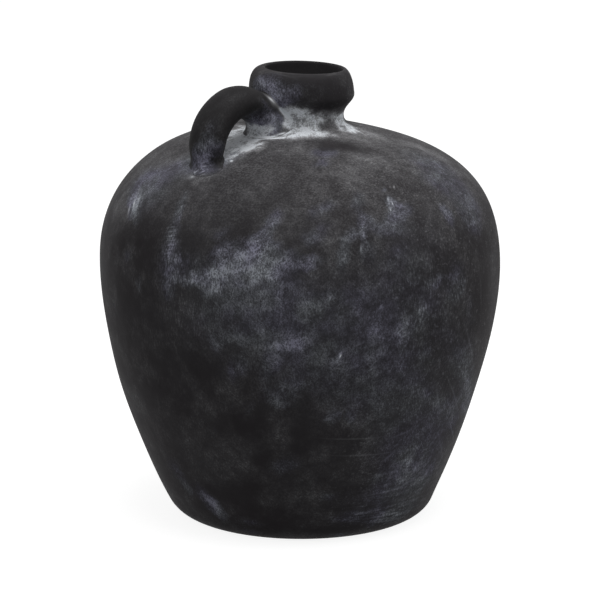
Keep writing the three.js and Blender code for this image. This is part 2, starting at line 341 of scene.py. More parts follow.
def finish_piece(bm, name, materials, node):
    """Shapes one piece by hand, makes its object and puts it in the place of its solid. Where there is
    a second material, the faces that look in towards the hollow take it: the bare inside clay, which
    paints the hollow dark as shade."""
    shape_by_hand(bm)
    for face in bm.faces:
        face.smooth = True
        middle = face.calc_center_median()
        radial = Vector((middle.x, middle.y, 0)).normalized()
        if len(materials) > 1 and face.normal.dot(radial) < INWARD_SHARE:
            face.material_index = 1
    for edge in bm.edges:
        edge.smooth = edge.calc_face_angle(0) < SHARP_CORNER
    piece = add_object(name, mesh_of(bm, name))
    for material in materials:
        piece.data.materials.append(material)
    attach(piece, "root")
    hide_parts(node)


SPIN_STEPS = 240
MERGE_DISTANCE = 1e-6


def throw(outline, closed=True):
    """Turns an outline once round the jug's axis, as on the wheel: an eighth of a turn, which is then
    doubled three times."""
    bm = bmesh.new()
    ring = [bm.verts.new(p) for p in outline]
    pairs = list(zip(ring, ring[1:] + ring[:1])) if closed else list(zip(ring, ring[1:]))
    edges = [bm.edges.new(pair) for pair in pairs]
    bmesh.ops.spin(
        bm, geom=ring + edges, axis=(0, 0, 1), cent=(0, 0, 0), angle=math.pi / 4, steps=SPIN_STEPS // 8,
    )
    for turn in (math.pi / 4, math.pi / 2, math.pi):
        copied = bmesh.ops.duplicate(bm, geom=bm.verts[:] + bm.edges[:] + bm.faces[:])["geom"]
        bmesh.ops.rotate(
            bm, verts=[item for item in copied if isinstance(item, bmesh.types.BMVert)],
            cent=(0, 0, 0), matrix=Matrix.Rotation(turn, 3, "Z"),
        )
    bmesh.ops.remove_doubles(bm, verts=bm.verts, dist=MERGE_DISTANCE)
    bmesh.ops.recalc_face_normals(bm, faces=bm.faces)
    return bm


# Slip: pale marks that were rubbed and washed on the black clay, and the places that stayed black. A few
# marks are painted light: highlights on the edges of the shoulder and the lip, and painted shade down the
# edges of the belly and under the foot

# a mark is (x, y, half length, half width, tilt, strength), in pixels and degrees of the frame, and
# is laid on the clay where a straight look through its pixel meets the outside of the pot
POT_SCRATCHES = [
    # left shoulder
    (135, 206, 12, 5, 84, 1.6), (134, 197, 10, 4, 60, 0.9), (142, 184, 16, 12, 40, 0.25),
    (128, 255, 9, 6, 90, 0.22), (139, 284, 10, 4, 90, 0.3), (137, 218, 10, 6, 90, 0.25),
    # streaked band under the handle
    (180, 208, 22, 5, 75, 0.35), (172, 242, 20, 8, 85, 0.66), (172, 264, 18, 9, 90, 1.35),
    (164, 262, 30, 14, 90, 0.2), (192, 262, 18, 14, 0, 0.25), (168, 288, 14, 7, 80, 0.5),
    (190, 278, 20, 8, 5, 0.52), (202, 277, 16, 9, 10, 0.3),
    # broad patch in the middle
    (256, 252, 17, 14, 60, 1.1), (240, 261, 25, 14, 35, 0.95), (223, 269, 16, 12, 20, 0.8),
    (264, 276, 20, 14, 30, 1.0), (250, 270, 14, 9, 0, 0.3), (244, 286, 28, 13, 0, 0.26),
    (240, 250, 26, 10, 25, 0.3), (273, 221, 15, 9, 60, 0.42), (265, 237, 10, 8, 60, 0.38),
    (280, 266, 14, 12, 40, 0.6), (300, 264, 22, 8, 10, 0.5), (196, 280, 18, 8, 5, 0.5),
    (210, 279, 12, 9, 20, 0.7), (212, 289, 14, 9, 0, 0.86), (282, 291, 20, 12, 30, 0.3),
    (236, 305, 30, 12, 5, 0.2), (276, 306, 16, 10, 10, 0.3), (308, 306, 16, 12, 15, 0.2),
    (322, 228, 16, 12, 40, 0.15), (326, 206, 18, 9, 20, 0.2), (222, 250, 16, 10, 30, 0.5),
    (272, 248, 12, 9, 30, 0.3),
    # right half
    (391, 206, 12, 5, 112, 0.7), (398, 207, 7, 5, 90, 0.3), (384, 189, 3, 2, 60, 0.4),
    (396, 222, 12, 9, 60, 0.15), (399, 211, 9, 7, 100, 0.25), (408, 209, 7, 6, 80, 0.35),
    (391, 216, 10, 7, 80, 0.3), (386, 228, 28, 9, 0, 0.24), (363, 234, 20, 4, 95, 0.75),
    (368, 252, 12, 8, 90, 0.25), (350, 236, 12, 8, 30, 0.25), (366, 222, 10, 8, 60, 0.35),
    (358, 204, 14, 8, 80, 0.3), (344, 256, 16, 7, 80, 0.35), (312, 214, 10, 8, 0, 0.15),
    (272, 289, 11, 7, 20, 0.4), (222, 232, 14, 8, 20, 0.2), (312, 240, 9, 12, 80, 0.2),
    (398, 508, 16, 5, 14, 0.4), (310, 262, 12, 8, 0, 0.3), (448, 215, 14, 5, 120, 0.5),
    (473, 222, 15, 8, 100, 0.35), (436, 184, 26, 10, 150, 0.15), (457, 282, 20, 9, 85, 0.5),
    (438, 280, 10, 6, 20, 0.4), (422, 312, 12, 6, 75, 0.6), (400, 333, 12, 10, 50, 1.2),
    (385, 312, 16, 8, 0, 0.2), (378, 329, 12, 9, 80, 0.6), (375, 357, 10, 8, 80, 0.45),
    (402, 364, 14, 6, 80, 0.45), (426, 352, 9, 7, 60, 0.2), (306, 236, 10, 10, 60, 0.1),
    (379, 308, 5, 3, 60, 0.5), (410, 322, 18, 10, 60, 0.2), (470, 310, 30, 8, 95, 0.12),
    (330, 298, 12, 8, 20, 0.35), (308, 307, 12, 7, 10, 0.3), (350, 300, 26, 14, 20, 0.12),
    (400, 255, 16, 10, 60, 0.2),
    # below the belly
    (283, 346, 13, 8, 10, 1.3), (297, 342, 12, 10, 10, 1.15), (276, 356, 12, 7, 30, 0.5),
    (308, 342, 12, 6, 10, 0.3), (236, 338, 14, 8, 0, 0.3), (216, 343, 10, 9, 90, 0.25),
    (262, 330, 22, 10, 10, 0.12), (341, 355, 6, 2, 70, 1.3), (331, 363, 14, 5, 20, 0.45),
    (414, 392, 16, 10, 160, 0.35), (433, 402, 16, 8, 150, 0.25), (332, 417, 9, 6, 30, 0.4),
    (350, 416, 8, 6, 90, 0.3), (282, 404, 8, 6, 30, 0.32), (291, 388, 12, 7, 20, 0.3),
    (269, 368, 14, 8, 60, 0.25), (236, 368, 16, 10, 60, 0.3), (248, 410, 12, 8, 80, 0.15),
    (378, 400, 16, 9, 100, 0.14), (284, 466, 16, 11, 20, 0.35), (276, 395, 20, 14, 20, 0.25),
    (467, 384, 30, 7, 100, 0.4), (465, 410, 24, 6, 105, 0.35), (452, 416, 18, 8, 100, 0.38),
    (250, 268, 12, 9, 30, 0.25), (290, 255, 12, 9, 20, 0.2),
    # the foot
    (403, 470, 30, 15, 40, 0.84), (420, 478, 18, 10, 60, 0.55), (388, 514, 36, 8, 12, 0.7),
    (350, 518, 24, 7, 8, 0.28), (330, 497, 10, 5, 10, 0.28), (340, 535, 12, 3, 0, 0.3),
    (250, 532, 18, 4, -8, 0.2), (210, 502, 22, 6, -50, 1.15), (214, 504, 9, 4, -54, 0.6),
    (176, 470, 20, 8, -60, 0.28), (188, 488, 16, 5, -55, 0.28), (216, 512, 12, 4, -30, 0.4),
    (250, 522, 16, 5, -8, 0.2),
    # broad, thin
    (290, 320, 110, 70, 0, 0.18), (410, 290, 100, 60, 90, 0.16), (350, 370, 90, 60, 0, 0.2),
    (420, 440, 70, 50, 50, 0.29), (390, 380, 60, 40, 0, 0.1), (210, 320, 60, 50, 0, 0.08),
    (470, 380, 70, 24, 100, 0.24), (150, 186, 36, 22, 40, 0.3), (206, 160, 36, 16, 10, 0.4),
    (440, 170, 50, 16, -35, 0.25), (470, 210, 30, 14, -60, 0.3), (380, 500, 60, 20, 8, 0.14),
    # round the neck
    (266, 86, 16, 12, 20, 1.3), (277, 97, 13, 10, 60, 1.3), (259, 80, 8, 7, 90, 0.7),
    (292, 94, 12, 10, 60, 0.5), (304, 88, 48, 22, 0, 0.09), (324, 152, 14, 7, 10, 0.38),
    (322, 163, 10, 7, 30, 0.2), (228, 150, 12, 10, 40, 0.4),
]
POT_WASHES_AND_HIGHLIGHTS = [
    # the waist of the neck and the foot of its smear
    (290, 119, 22, 21, 60, 1.5), (301, 112, 21, 9, 0, 0.7), (300, 132, 27, 9, 3, 1.5),
    (296, 123, 6, 15, 84, 0.7), (309, 122, 4, 13, 88, 0.35), (312, 131, 10, 6, 0, 0.6),
    (316, 119, 20, 9, 0, 1.1), (330, 135, 24, 6, -3, 0.7), (342, 118, 6, 12, 100, 1.1),
    (280, 138, 30, 4, 6, 0.6), (354, 131, 24, 9, -14, 0.45), (344, 122, 6, 10, 90, 0.5),
    (335, 117, 12, 8, 0, 0.8), (374, 136, 34, 10, -16, 0.28), (347, 125, 8, 5, -20, 1.2),
    (357, 128, 13, 5, -14, 0.6), (340, 127, 8, 8, 60, 0.3), (351, 131, 13, 6, -10, 0.5),
    (368, 134, 18, 5, -14, 0.3),
    # the shoulder to the left and right of the neck
    (184, 162, 12, 9, 30, 0.12), (250, 132, 8, 12, 80, 0.3), (221, 171, 12, 5, 20, 0.12),
    # painted highlights: (428, 151) here and (117, 207) on the next line light the right and the left
    # edge of the shoulder
    (428, 151, 26, 7, -25, 0.5), (404, 142, 18, 5, -18, 0.12), (286, 151, 52, 9, 0, 0.12),
    (342, 170, 24, 12, 0, 0.12), (117, 207, 22, 6, 70, 0.28),
    # shoulder seen through the handle
    (235, 140, 15, 19, 60, 3.0), (231, 152, 14, 12, 0, 2.0), (240, 126, 12, 9, 0, 0.8),
    (250, 145, 16, 8, 8, 2.1), (212, 152, 10, 12, 60, 0.15), (283, 103, 12, 7, -45, 0.4),
    (272, 92, 12, 8, -45, 0.12), (241, 132, 12, 14, 60, 1.6), (372, 160, 26, 8, -14, 0.3),
    (208, 162, 24, 12, 20, 0.2), (290, 146, 30, 8, 0, 0.12),
    # even grey of the shoulder and the belly
    (206, 230, 36, 30, 0, 0.05), (150, 176, 40, 24, 40, 0.2), (122, 214, 24, 14, 80, 0.2),
    # painted highlight: (476, 204) lights the upper right edge of the shoulder
    (196, 164, 30, 14, 20, 0.12), (476, 204, 34, 14, -60, 0.14), (362, 140, 26, 8, -14, 0.2),
    (350, 168, 40, 16, 0, 0.08), (390, 152, 40, 12, -20, 0.10), (255, 272, 66, 36, 20, 0.10),
    (310, 240, 60, 40, 0, 0.04), (400, 250, 60, 60, 0, 0.05), (440, 210, 40, 40, 0, 0.04),
    (260, 320, 70, 40, 0, 0.05), (320, 310, 100, 70, 0, 0.05), (390, 330, 60, 50, 0, 0.06),
    (300, 360, 90, 50, 0, 0.04), (400, 400, 60, 60, 0, 0.035), (430, 470, 50, 40, 50, 0.06),
    (400, 500, 50, 20, 20, 0.06),
]
POT_LINES = [
    # nicks on the right shoulder
    (388, 199, 3, 1.2, 95, 0.75), (392.5, 203.5, 4, 1.1, 110, 0.8), (390.5, 210, 5, 1.0, 95, 0.6),
    (394, 187, 2, 1.2, 90, 0.7), (390, 187, 1.5, 1, 90, 0.4), (361, 250, 4, 1.2, 95, 0.35),
    (401, 206, 4, 1.1, 60, 0.35), (362.5, 225, 3, 1.2, 90, 0.25), (361, 247, 4, 1.2, 90, 0.3),
    # creases of the handle's upper end, and a painted highlight along the near inner edge of the lip
    (271, 99, 10, 2.6, -42, 1.0), (283, 111.5, 12, 2.6, -46, 1.5), (287, 116.5, 9, 1.5, -50, 1.0),
    # painted highlight: (284, 74.6), (306, 75.8) and (331, 74.8) light the near inner edge of the lip
    (268, 138.8, 18, 0.9, 4, 0.9), (284, 74.6, 16, 0.9, -9, 0.14), (306, 75.8, 18, 0.9, 0, 0.14),
    (331, 74.8, 16, 0.9, 8, 0.14), (283, 134, 8, 1.2, 14, 0.8), (231.5, 161, 1.6, 1.2, 30, 1.2),
    # left shoulder and the crease under the strap
    (134, 204, 10, 1.6, 78, 0.75), (129, 210, 9, 1.5, 80, 0.6), (139, 199, 8, 1.6, 74, 0.55),
    (192, 177, 4, 3, 0, 0.6), (205, 175, 10, 1.6, 4, 0.3),
    # brush lines on the right flank and round the foot
    (452, 430, 16, 1.2, 104, 0.2), (441, 447, 16, 1.2, 100, 0.16), (355, 439, 34, 1, 2, 0.16),
    (368, 455, 38, 1, 4, 0.18), (405, 461, 15, 1.3, 50, 0.22), (415, 470, 17, 1.3, 54, 0.24),
    (426, 473, 13, 1.3, 62, 0.28), (396, 469, 14, 1.3, 45, 0.18), (388, 457, 13, 1.2, 40, 0.2),
    (408, 482, 20, 1.3, 33, 0.22), (385, 492, 26, 1.2, 14, 0.2), (402, 434, 17, 1.1, 22, 0.2),
    (438, 398, 14, 1.2, 100, 0.2),
    # steps in the streaked band under the handle
    (172, 227, 4, 0.8, 8, 0.3), (171.5, 231.5, 5, 0.8, 8, 0.3), (171, 236, 5, 0.8, 8, 0.35),
    (171, 240.5, 5, 0.8, 6, 0.35), (170.5, 245, 5, 0.8, 6, 0.35), (170.5, 249.5, 5, 0.8, 4, 0.3),
    (178, 217, 4, 0.8, 12, 0.2), (176, 221, 4, 0.8, 12, 0.2),
    # nicks below the belly, and lines down the right edge
    (340.5, 356, 3, 1.1, 65, 1.3), (344, 351, 2.5, 1.0, 60, 0.5), (400, 331, 5, 1.2, 40, 0.5),
    (404, 336, 5, 1.2, 30, 0.45), (481, 290, 34, 1.1, 92, 0.13), (470, 345, 34, 1.1, 101, 0.13),
    (455, 398, 26, 1.1, 107, 0.16),
]
POT_STAINS_AND_SHADE = [
    # round the neck and on the shoulders
    (349, 147, 24, 8, -12, 1.5), (325, 148, 18, 10, 5, 1.5), (368, 152, 16, 8, -15, 0.5),
    (329, 116, 4, 11, 75, 0.8), (320, 127, 7, 5, 60, 0.6), (318, 107, 24, 3.5, 0, 1.0),
    (150, 222, 16, 10, 0, 0.6), (384, 184, 14, 8, 0, 0.3), (205, 236, 24, 16, 0, 0.2),
    (416, 212, 8, 12, 80, 0.2),
    # on the belly, the lip and the collar; painted shade down both edges of the belly and along the
    # bottom of the foot
    (430, 250, 13, 14, 80, 0.6), (395, 280, 16, 12, 0, 0.4), (340, 341, 24, 9, 0, 0.5),
    # painted shade: (480, 280) here, (110, 275) and (486, 275) below darken the left and right edges of
    # the belly
    (480, 280, 10, 60, 0, 0.3), (330, 84, 34, 16, 0, 0.7), (268, 70, 15, 6, -25, 1.6),
    (276, 74, 16, 5, -10, 1.0), (310, 77, 40, 7, 0, 1.2), (343, 73, 12, 8, 25, 1.0),
    (110, 275, 8, 50, 0, 0.4), (280, 188, 48, 22, 0, 0.46), (360, 389, 26, 14, 0, 0.55),
    # painted shadow: (320, 531) here and (315, 531) below darken the bottom of the foot, where it stands
    # on the table
    (332, 353, 24, 16, 0, 0.3), (421, 267, 20, 14, 0, 0.4), (320, 531, 60, 6, 0, 0.6),
    (486, 275, 10, 60, 0, 1.1), (452, 449, 14, 11, 0, 0.4), (290, 203, 22, 16, 0, 0.42),
    (258, 174, 24, 9, 0, 0.15), (388, 278, 16, 10, 0, 0.25), (350, 362, 12, 14, 0, 0.5),
    (386, 212, 12, 8, 0, 0.2), (436, 172, 14, 8, -25, 0.35), (372, 190, 12, 9, 0, 0.35),
    (390, 226, 14, 10, 0, 0.3), (315, 531, 50, 9, 0, 0.7),
    # between the streaks of the foot and above them
    (398, 508, 38, 3, 16, 0.9), (427, 491, 13, 3, 42, 0.9), (397, 418, 18, 9, 8, 0.5),
]


def look_through(x, y):
    """Direction of the camera's look through a pixel of the frame."""
    step = SENSOR / FRAME_PIXELS
    aside = frame_right * (x - FRAME_PIXELS / 2) * step
    above = frame_up * (FRAME_PIXELS / 2 - y) * step
    return (aside + above - toward_camera * LENS).normalized()


PIXEL = CAMERA_DISTANCE * SENSOR / LENS / FRAME_PIXELS
MOST_STRETCH = 2.2
MARK_SPREAD = 1.45
DEPTH_SHARE = 0.6
LEAST_DEPTH = 6 * MM
LEAST_WIDTH = 0.5 * MM


def skin_of(bm):
    """What marks are laid on: a shape with its hand work, which is freed."""
    shape_by_hand(bm)
    skin = BVHTree.FromBMesh(bm)
    bm.free()
    return skin


def lay_mark(skin, mark):
    """A mark on a skin, as an ellipsoid that lies flat on it: centre, turn, half sizes and strength."""
    x, y, length, width, tilt, strength = mark
    look = look_through(x, y)
    centre, normal, _, _ = skin.ray_cast(camera.location, look)
    slid = []
    for turn, half in ((tilt, length), (tilt + 90, width)):
        across = frame_right * math.cos(math.radians(turn)) + frame_up * math.sin(math.radians(turn))
        along = across + look * (across.dot(normal) / -look.dot(normal))
        slid.append(along.normalized() * min(along.length, MOST_STRETCH) * half * PIXEL * MARK_SPREAD)
    first = slid[0].normalized()
    second = normal.cross(first)
    depth = max(LEAST_DEPTH, DEPTH_SHARE * max(slid[0].length, slid[1].length))
    sizes = (slid[0].length, max(abs(slid[1].dot(second)), LEAST_WIDTH), depth)
    turn = Matrix((first, second, normal)).transposed().to_euler()
    return centre, turn, sizes, strength


def lay_slip(skin, **lists):
    """Every list of marks, laid on a skin."""
    return {kind: [lay_mark(skin, mark) for mark in marks] for kind, marks in lists.items()}


# Clay: coarse and matt, fired black in smoke, with the slip on it
def mark_sum(place, marks):
    """Adds up the marks at a place: each is full in its middle and fades to nothing at its edge."""
    total = 0.0
    for centre, turn, sizes, strength in marks:
        inside = place.add("ShaderNodeMapping", {"vector_type": "TEXTURE"}, {
            "Vector": place, "Location": centre, "Rotation": turn, "Scale": sizes,
        })
        ball = place.add("ShaderNodeTexGradient", {"gradient_type": "QUADRATIC_SPHERE"}, {
            "Vector": inside,
        }, 1)
        total = ball.math("MULTIPLY_ADD", ball, strength, total)
    return total


def cloud(place, size, detail, roughness=0.55):
    """Soft noise of about that size in metres, from 0 to 1."""
    return place.add("ShaderNodeTexNoise", {}, {
        "Vector": place, "Scale": 1 / size, "Detail": detail, "Roughness": roughness,
    })


def threads(place, along, length, width):
    """Noise drawn out along a direction, as the hairs of a brush or a dry cloth leave it."""
    turn = Vector(along).to_track_quat("X", "Z").to_euler()
    drawn = place.add("ShaderNodeMapping", {"vector_type": "TEXTURE"}, {
        "Vector": place, "Rotation": turn, "Scale": (length, width, width),
    })
    return place.add("ShaderNodeTexNoise", {}, {
        "Vector": drawn, "Scale": 1.0, "Detail": 2.0, "Roughness": 0.6,
    })


def fade(value, start, end):
    """0 below start, 1 above end and smooth between them."""
    return value.add("ShaderNodeMapRange", {"interpolation_type": "SMOOTHSTEP"}, {
        "Value": value, "From Min": start, "From Max": end,
    })


# the places of the colours among the inputs of a Mix node, and of their blend among its outputs
LOW_COLOUR = 6
HIGH_COLOUR = 7
BLENDED_COLOUR = 2


def blend(share, low, high):
    """A colour from low to high."""
    return share.add("ShaderNodeMix", {"data_type": "RGBA"}, {
        0: share, LOW_COLOUR: low, HIGH_COLOUR: high,
    }, BLENDED_COLOUR)


STRAY = 10 * MM
STRAY_SCALE = 90.0


def strayed(place):
    """The place pushed about a little by noise, so that what is laid there gets a ragged edge."""
    stir = place.add("ShaderNodeTexNoise", {}, {
        "Vector": place, "Scale": STRAY_SCALE, "Detail": 3.0, "Roughness": 0.6,
    }, "Color")
    pushed = place.vector("MULTIPLY_ADD", stir, (STRAY, STRAY, STRAY), place)
    return place.vector("ADD", pushed, (-STRAY / 2, -STRAY / 2, -STRAY / 2))


def sideways(place):
    """How far a place lies to the right of the jug's axis, as the camera sees it."""
    return place.vector("DOT_PRODUCT", place, tuple(frame_right), output="Value")


CROSSED_HAIRS = (45 * MM, 95 * MM)


def brush_hairs(place, aside):
    """Upright hairs of a brush all over, and crossing ones in the middle of the belly."""
    upright = threads(place, (0, 0, 1), 3.6 * MM, 1.0 * MM)
    rising = threads(place, frame_right + frame_up, 3.8 * MM, 1.1 * MM)
    falling = threads(place, frame_right - frame_up, 3.8 * MM, 1.1 * MM)
    middle = 1.0 - fade(place.math("ABSOLUTE", aside), *CROSSED_HAIRS)
    crossing = place.math("MAXIMUM", fade(rising, 0.46, 0.72), fade(falling, 0.46, 0.72)) * middle
    return place.math("MAXIMUM", crossing, fade(upright, 0.42, 0.72))


def wheel_rings(place, heading, climb, turning):
    """Noise drawn out round the pot, as a rag leaves it on the turning wheel. The rings lie closer with
    more climb and break more often with more turning."""
    risen = place.add("ShaderNodeCombineXYZ", {}, {"Z": climb})
    wiped = place.vector("MULTIPLY_ADD", heading, (turning, turning, turning), risen)
    return place.add("ShaderNodeTexNoise", {}, {
        "Vector": wiped, "Scale": 1.0, "Detail": 3.0, "Roughness": 0.6,
    })


def new_clay(name):
    """A new material, and the place on the jug that its nodes start from."""
    material = bpy.data.materials.new(name)
    place = bare_tree(material).add("ShaderNodeTexCoord", {}, {}, "Object")
    return material, place


CLAY_ROUGHNESS = 0.62
ROUGHNESS_SPREAD = 0.2
CLAY_SHINE = 0.07
DENT_DEPTH = 0.6 * MM
DENT_STRENGTH = 0.35


def matt_skin(place, colour, broad, grain, hairs):
    """The matt skin of fired clay in that colour, with its grain and small dents."""
    height = grain * 0.25 + hairs * 0.12 + cloud(place, 6 * MM, 3.0) * 0.8
    bump = place.add("ShaderNodeBump", {}, {
        "Strength": DENT_STRENGTH, "Distance": DENT_DEPTH, "Height": height,
    })
    clay = place.add("ShaderNodeBsdfPrincipled", {}, {
        "Base Color": colour,
        "Roughness": CLAY_ROUGHNESS + ROUGHNESS_SPREAD * broad,
        "Specular IOR Level": CLAY_SHINE,
        "Normal": bump,
    })
    place.add("ShaderNodeOutputMaterial", {}, {"Surface": clay})


SPRINKLED_SIDE = (0.0, 50 * MM)
SPRINKLE = 0.13


def sprinkle(place, aside):
    """Fine specks of dry slip, on the side away from the handle."""
    return fade(cloud(place, 2.4 * MM, 2.0), 0.58, 0.70) * fade(aside, *SPRINKLED_SIDE) * SPRINKLE


def clay_ground(place, black, soot):
    """The clay under the slip, in broad patches of two blacks."""
    return blend(fade(cloud(place, 70 * MM, 3.0), 0.3, 0.7), black, soot)


DRY_SLIP = (0.340, 0.339, 0.351, 1)
BLUE_SLIP = (0.262, 0.260, 0.338, 1)
GREY_SLIP = (0.378, 0.403, 0.442, 1)
THICK_SLIP = (0.77, 0.80, 0.84, 1)
DUST_EDGE = 11 * MM
BLACK_SHARE = 0.85

# noise from the wheel: how fast it changes up the pot, and round it
RING_CLIMB = 620.0
RING_TURNING = 14.0
STREAK_CLIMB = 400.0
STREAK_TURNING = 5.0

# where the streaks lie along the foot, and the slip round the waist of the neck
STREAKED_RISE = (15 * MM, 75 * MM)
STREAKED_SIDE = (-20 * MM, 40 * MM)
WAIST_SLIP_FOOT = (280 * MM, 286 * MM)
WAIST_SLIP_TOP = (295 * MM, 304 * MM)
WAIST_SLIP_REACH = (44 * MM, 62 * MM)


def smoked_clay(name, slip, black, soot, dust, dust_top, haze, back_slip):
    """Black clay with pale slip: in scratches, in broad wash marks, as lines in the creases, as streaks
    along the foot and in drifts at the back. A few of the pale marks are painted highlights, on the edges
    of the shoulder and on the near edge of the lip. Dark marks are places that stayed black, and a few
    are painted shade, down both edges of the belly and along the bottom of the foot. Dust lies on what
    faces up, as far up as dust_top."""
    material, place = new_clay(name)
    facing = place.add("ShaderNodeTexCoord", {}, {}, "Normal")
    up = place.add("ShaderNodeSeparateXYZ", {}, {"Vector": facing}, "Z")
    level = place.add("ShaderNodeSeparateXYZ", {}, {"Vector": place}, "Z")
    aside = sideways(place)
    away = place.vector("DOT_PRODUCT", facing, (-toward_camera.x, -toward_camera.y, 0), output="Value")
    flat_place = place.vector("MULTIPLY", place, (1, 1, 0))
    reach = place.vector("LENGTH", flat_place, output="Value")
    heading = place.vector("NORMALIZE", flat_place)

    ragged = strayed(place)
    scratched = mark_sum(ragged, slip["scratches"])
    wash_and_highlight = mark_sum(ragged, slip["washes"])
    lined = mark_sum(place, slip["lines"])

    # noise from broad to fine
    broad = cloud(place, 45 * MM, 4.0)
    hazy = fade(cloud(place, 26 * MM, 5.0), 0.38, 0.8)
    spots = fade(cloud(place, 8.5 * MM, 5.0, 0.7), 0.34, 0.62)
    grit = fade(cloud(place, 8.5 * MM, 5.0, 0.62), 0.36, 0.64)
    mottle = cloud(place, 4.5 * MM, 4.0, 0.65)
    specks = fade(cloud(place, 1.5 * MM, 3.0, 0.6), 0.36, 0.66)
    grain = cloud(place, 1.1 * MM, 2.0)

    # noise with a direction: hairs of the brush, rings from the wheel and streaks along the foot
    hairs = brush_hairs(place, aside)
    rings = fade(wheel_rings(place, heading, (level - reach) * RING_CLIMB, RING_TURNING), 0.42, 0.7)
    streaks = fade(wheel_rings(place, heading, level * STREAK_CLIMB, STREAK_TURNING), 0.40, 0.62)
    low_right = (1.0 - fade(level, *STREAKED_RISE)) * fade(aside, *STREAKED_SIDE)
    streaks = 1.0 + low_right * (streaks * 1.3 - 0.7)

    # the side that the camera doesn't see has slip in drifts and round the waist of the neck
    behind = fade(away, 0.24, 0.6) * back_slip
    drift = fade(cloud(place, 50 * MM, 4.0), 0.5, 0.74) * behind
    waist = fade(level, *WAIST_SLIP_FOOT) * (1.0 - fade(level, *WAIST_SLIP_TOP))
    waist = waist * (1.0 - fade(reach, *WAIST_SLIP_REACH)) * behind
    waist = waist * fade(cloud(place, 22 * MM, 4.0), 0.34, 0.6)

    # slip that was rubbed off again, so that it stays in the hairs of the brush
    film = (scratched + drift * 0.7) * (0.25 + 0.6 * broad + 0.95 * grit)
    film = film + hazy * haze * (0.4 + 1.2 * grit)
    film = film * (0.2 + 0.87 * hairs) * streaks
    # dry slip: specks, washes, haze and what has settled on the shoulder
    film = film + sprinkle(place, aside)
    # some of these wash marks are painted highlights on the edges of the shoulder
    wash_and_highlight = place.math("MINIMUM", wash_and_highlight + waist * 0.8, 1.0) * (0.5 + 0.55 * spots)
    film = film + wash_and_highlight + hazy * haze * 0.25
    settled = fade(up, 0.25, 0.98) * (1.0 - fade(level, dust_top - DUST_EDGE, dust_top))
    settled = settled * dust * (0.23 + 0.4 * rings + 0.95 * specks)
    film = film + settled * (0.4 + 1.2 * broad) * (0.65 + 0.7 * spots)
    # the lines include a painted highlight on the near inner edge of the lip
    film = film * (0.7 + 0.62 * fade(grain, 0.36, 0.64)) + lined * (0.4 + 1.2 * mottle)
    # dark marks keep the slip off; a few are painted shade, down the belly's edges and along the bottom
    # of the foot
    if slip["stains"]:
        stain_and_shade = place.math("MINIMUM", mark_sum(ragged, slip["stains"]), 1.0)
        film = film * (1.0 - stain_and_shade * BLACK_SHARE)
    film = place.math("MINIMUM", place.math("MAXIMUM", film, 0.0), 1.0)

    tint = blend(fade(cloud(place, 30 * MM, 2.0), 0.35, 0.65), BLUE_SLIP, GREY_SLIP)
    tint = blend(fade(scratched, 0.0, 0.16), DRY_SLIP, tint)
    tint = blend(fade(wash_and_highlight + lined, 0.3, 0.9), tint, THICK_SLIP)
    colour = blend(film, clay_ground(place, black, soot), tint)
    matt_skin(place, colour, broad, grain, hairs)
    return material


pot_skin = skin_of(throw(outside, closed=False))
pot_slip_and_painted_light = lay_slip(
    pot_skin, scratches=POT_SCRATCHES, washes=POT_WASHES_AND_HIGHLIGHTS, lines=POT_LINES, stains=POT_STAINS_AND_SHADE,
)
pot_clay = smoked_clay(
    "smoked_pot_clay", pot_slip_and_painted_light,
    black=(0.0182, 0.0160, 0.0177, 1), soot=(0.0237, 0.0220, 0.0240, 1),
    dust=0.108, dust_top=300 * MM, haze=0.16, back_slip=1.0,
)


# Base: the round slab that the pot was thrown on, cut from the wheel, with a rounded foot
base_edge = stretch(outside, 0, BASE_SEAM)
base = throw([Vector((0, 0, 0)), *base_edge, Vector((0, 0, BASE_SEAM))], closed=False)
finish_piece(base, "thrown_base", [pot_clay], "base_slab")


# Lower body: the lower half of the belly, pulled up from the slab, with finger rings on the inside
INSIDE_BLACK = (0.0195, 0.0181, 0.0197, 1)
INSIDE_SOOT = (0.0250, 0.0239, 0.0248, 1)
WALL = 7.5 * MM
FINGER_RING = 0.35 * MM
FINGER_RING_STEP = 13 * MM
FINGER_RING_END = 20 * MM


def inside_clay(name):
    """The black clay of the inside, which has no slip on it, only a few dry specks. It goes without the
    haze and dust of the outside, so that the hollow is painted dark: painted shade on the clay's own
    black.
    """
    material, place = new_clay(name)
    aside = sideways(place)
    grain = cloud(place, 1.1 * MM, 2.0)
    specks = sprinkle(place, aside) * (0.7 + 0.62 * fade(grain, 0.36, 0.64))
    colour = blend(specks, clay_ground(place, INSIDE_BLACK, INSIDE_SOOT), DRY_SLIP)
    matt_skin(place, colour, cloud(place, 45 * MM, 4.0), grain, brush_hairs(place, aside))
    return material


# painted shade: the inside takes bare black clay without the outside's slip, haze and dust, so the hollow
# stays dark
inside_clay_painted_dark = inside_clay("inside_clay_with_painted_shade")


def inward(outline, distance):
    """The same outline moved square to itself towards the hollow, with finger rings pressed in it."""
    moved = []
    for i, here in enumerate(outline):
        along = direction(outline, i)
        ring = FINGER_RING * math.sin(2 * math.pi * here.z / FINGER_RING_STEP)
        ring *= ramp(outline[-1].z - here.z, 0, FINGER_RING_END)
        moved.append(here + Vector((-along.z, 0, along.x)) * (distance + ring))
    return moved


# the rounded corner between the floor and the wall, in millimetres
FLOOR = BASE_SEAM / MM
FLOOR_CORNER = 8
FLOOR_TURN = FLOOR + FLOOR_CORNER
FLOOR_BEND = 0.45 * FLOOR_CORNER

